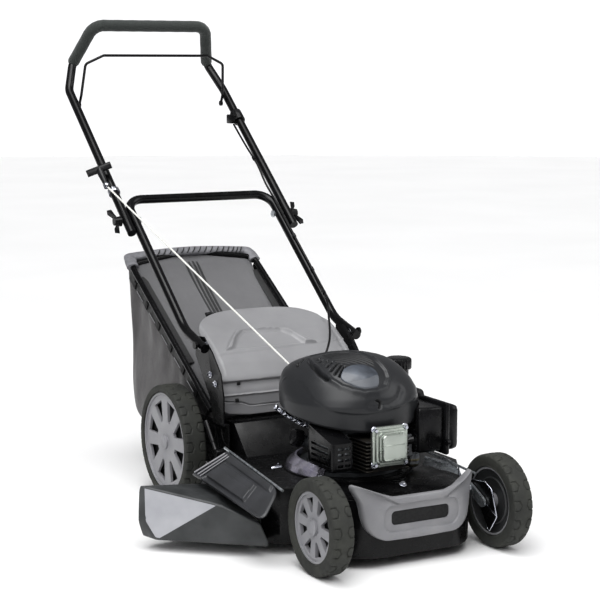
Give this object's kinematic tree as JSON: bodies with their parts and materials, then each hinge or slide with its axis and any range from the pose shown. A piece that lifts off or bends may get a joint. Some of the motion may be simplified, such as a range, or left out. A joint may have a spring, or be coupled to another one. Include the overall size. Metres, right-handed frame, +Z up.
{
  "type": "push lawn mower",
  "caption": "Push lawn mower with steel deck, four wheels, petrol engine, rear grass bag, side discharge chute and a folding tubular handle with a foam grip.",
  "frame": {"origin": "centre of the bounding box footprint, on the ground under the tyres", "axes": "+Z up; -Y the way the mower travels, towards the front wheels; +X the operator's left, away from the side chute"},
  "size_m": [0.728, 1.488, 1.1315],
  "materials": {
    "rubber_tread": "matte moulded rubber",
    "wheel_plastic": "satin light grey moulding",
    "zinc_steel": "zinc plated",
    "black_steel": "gloss black powder coat",
    "deck_paint": "satin black paint",
    "grey_plastic": "satin light grey moulding",
    "dark_plastic": "satin charcoal moulding",
    "black_plastic": "gloss black moulding",
    "foam": "matte closed cell foam",
    "filter_foam": "oiled filter foam",
    "rope": "braided nylon",
    "cable_sheath": "smooth black sheath",
    "cast_alloy": "cast alloy",
    "zinc_cover": "bright zinc plated pressing",
    "polished": "polished steel",
    "bare_steel": "bare steel",
    "dark_steel": "heat resistant black",
    "brassy": "dull brassy zinc alloy",
    "bag_cloth": "woven polyester",
    "bag_tube": "satin dark grey plastic coated tube"
  },
  "bodies": {
    "mower": {"deck_shell": "deck_paint", "front_bumper_trim": "grey_plastic", "side_flap_pin": "zinc_steel", "side_chute": "dark_plastic", "door_hinge_rod": "zinc_steel", "door_spring": "zinc_steel", "lower_handle": "black_steel", "handle_bracket_right": "black_steel", "handle_bracket_left": "black_steel", "height_quadrant": "black_steel", "crankcase": "cast_alloy", "cylinder": "cast_alloy", "spark_plug": "black_plastic", "rocker_cover": "zinc_cover", "muffler_guard": "black_plastic", "muffler": "dark_steel", "heat_shield": "polished", "carburettor": "brassy", "air_filter_box": "black_plastic", "air_filter_element": "filter_foam", "air_filter_cover": "black_plastic", "fuel_tank": "black_plastic", "engine_cowl": "dark_plastic", "starter_rope": "rope", "brake_cable": "cable_sheath"},
    "front_axle": {"front_axle": "zinc_steel"},
    "rear_crank_right": {"rear_crank_right": "zinc_steel"},
    "rear_crank_left": {"rear_crank_left": "zinc_steel"},
    "height_link": {"height_link_rod": "zinc_steel"},
    "height_lever": {"height_lever": "dark_plastic"},
    "front_right_wheel": {"tyre_front_right": "rubber_tread", "wheel_front_right": "wheel_plastic"},
    "front_left_wheel": {"tyre_front_left": "rubber_tread", "wheel_front_left": "wheel_plastic"},
    "rear_right_wheel": {"tyre_rear_right": "rubber_tread", "wheel_rear_right": "wheel_plastic"},
    "rear_left_wheel": {"tyre_rear_left": "rubber_tread", "wheel_rear_left": "wheel_plastic"},
    "crank": {"crankshaft": "bare_steel", "flywheel": "cast_alloy", "blade": "bare_steel", "blade_boss": "dark_steel", "blade_bolt": "bare_steel"},
    "starter_pulley": {"recoil_pulley": "black_plastic"},
    "side_flap": {"side_flap": "dark_plastic"},
    "rear_door": {"rear_door": "grey_plastic"},
    "bag": {"bag_fabric": "bag_cloth", "bag_frame": "bag_tube"},
    "upper_handle": {"upper_handle": "black_steel", "foam_grip": "foam", "rope_guide": "zinc_steel", "cable_stop": "black_plastic", "handle_bolt_right": "zinc_steel", "handle_bolt_left": "zinc_steel"},
    "knob_right": {"handle_knob_right": "black_plastic"},
    "knob_left": {"handle_knob_left": "black_plastic"},
    "bail": {"brake_bail": "black_steel"},
    "pull": {"starter_handle": "black_plastic"},
    "fuel_cap": {"fuel_cap": "black_plastic"},
    "oil_cap": {"oil_cap": "black_plastic"}
  },
  "joints": [
    {"name": "height_lever_turn", "type": "hinge", "parent": "mower", "child": "height_lever", "pos_m": [-0.09401, -0.12995, 0.14], "axis": [1, 0, 0], "range_deg": [0, 45]},
    {"name": "front_axle_swing", "type": "hinge", "parent": "mower", "child": "front_axle", "pos_m": [0.102, -0.59896, 0.122], "axis": [1, 0, 0], "range_deg": [0, 45]},
    {"name": "rear_crank_right_swing", "type": "hinge", "parent": "mower", "child": "rear_crank_right", "pos_m": [-0.07301, 0.10104, 0.157], "axis": [1, 0, 0], "range_deg": [0, 45]},
    {"name": "rear_crank_left_swing", "type": "hinge", "parent": "mower", "child": "rear_crank_left", "pos_m": [0.27699, 0.10104, 0.157], "axis": [1, 0, 0], "range_deg": [0, 45]},
    {"name": "height_link_slide", "type": "slide", "parent": "mower", "child": "height_link", "axis": [0, 1, 0], "range_m": [-0.0214, 0]},
    {"name": "front_right_wheel_spin", "type": "hinge", "parent": "front_axle", "child": "front_right_wheel", "pos_m": [-0.114, -0.64396, 0.1], "axis": [1, 0, 0], "continuous": true},
    {"name": "front_left_wheel_spin", "type": "hinge", "parent": "front_axle", "child": "front_left_wheel", "pos_m": [0.318, -0.64396, 0.1], "axis": [1, 0, 0], "continuous": true},
    {"name": "rear_right_wheel_spin", "type": "hinge", "parent": "rear_crank_right", "child": "rear_right_wheel", "pos_m": [-0.118, 0.05604, 0.135], "axis": [1, 0, 0], "continuous": true},
    {"name": "rear_left_wheel_spin", "type": "hinge", "parent": "rear_crank_left", "child": "rear_left_wheel", "pos_m": [0.32199, 0.05604, 0.135], "axis": [1, 0, 0], "continuous": true},
    {"name": "blade_spin", "type": "hinge", "parent": "mower", "child": "crank", "pos_m": [0.102, -0.38595, 0.1], "axis": [0, 0, 1], "continuous": true},
    {"name": "starter_pull", "type": "slide", "parent": "upper_handle", "child": "pull", "axis": [-0.03, 0.741, 0.6709], "range_m": [0, 0.4], "stiffness_N_per_m": 20, "springref_m": -0.3, "deforming": ["starter_rope"]},
    {"name": "starter_pulley_turn", "type": "hinge", "parent": "mower", "child": "starter_pulley", "pos_m": [0.102, -0.38595, 0.311], "axis": [0, 0, 1], "range_deg": [-10, 720]},
    {"name": "upper_handle_fold", "type": "hinge", "parent": "mower", "child": "upper_handle", "pos_m": [0.102, 0.31905, 0.634], "axis": [1, 0, 0], "range_deg": [0, 140], "deforming": ["starter_rope", "brake_cable"]},
    {"name": "knob_right_turn", "type": "hinge", "parent": "upper_handle", "child": "knob_right", "pos_m": [-0.143, 0.31905, 0.634], "axis": [1, 0, 0], "range_deg": [0, 720]},
    {"name": "knob_left_turn", "type": "hinge", "parent": "upper_handle", "child": "knob_left", "pos_m": [0.34699, 0.31905, 0.634], "axis": [1, 0, 0], "range_deg": [0, 720]},
    {"name": "brake_bail_squeeze", "type": "hinge", "parent": "upper_handle", "child": "bail", "pos_m": [0.102, 0.66104, 0.908], "axis": [1, 0, 0], "range_deg": [-38, 0], "stiffness_Nm_per_rad": 1.2, "springref_deg": 20.05},
    {"name": "rear_door_lift", "type": "hinge", "parent": "mower", "child": "rear_door", "pos_m": [0.102, -0.09896, 0.224], "axis": [1, 0, 0], "range_deg": [0, 60], "stiffness_Nm_per_rad": 0.4, "springref_deg": -45.84, "deforming": ["starter_rope", "brake_cable"]},
    {"name": "side_flap_lift", "type": "hinge", "parent": "mower", "child": "side_flap", "pos_m": [-0.143, -0.40646, 0.1705], "axis": [0, 0.9917, 0.1286], "range_deg": [0, 60], "stiffness_Nm_per_rad": 0.3, "springref_deg": -45.84},
    {"name": "bag_slide", "type": "slide", "parent": "mower", "child": "bag", "axis": [0, 1, 0], "range_m": [0, 0.25]},
    {"name": "fuel_cap_turn", "type": "hinge", "parent": "mower", "child": "fuel_cap", "pos_m": [0.27399, -0.31395, 0.345], "axis": [0, 0, 1], "range_deg": [0, 360]},
    {"name": "oil_cap_turn", "type": "hinge", "parent": "mower", "child": "oil_cap", "pos_m": [-0.016, -0.34125, 0.2143], "axis": [-0.9231, 0.1308, 0.3616], "range_deg": [0, 360]}
  ],
  "couplings": [
    {"joint": "front_axle_swing", "follows": "height_lever_turn", "ratio": 1},
    {"joint": "rear_crank_right_swing", "follows": "height_lever_turn", "ratio": 1},
    {"joint": "rear_crank_left_swing", "follows": "height_lever_turn", "ratio": 1},
    {"joint": "height_link_slide", "follows": "height_lever_turn", "m_per_rad": -0.027},
    {"joint": "starter_pulley_turn", "follows": "starter_pull", "rad_per_m": 29}
  ]
}
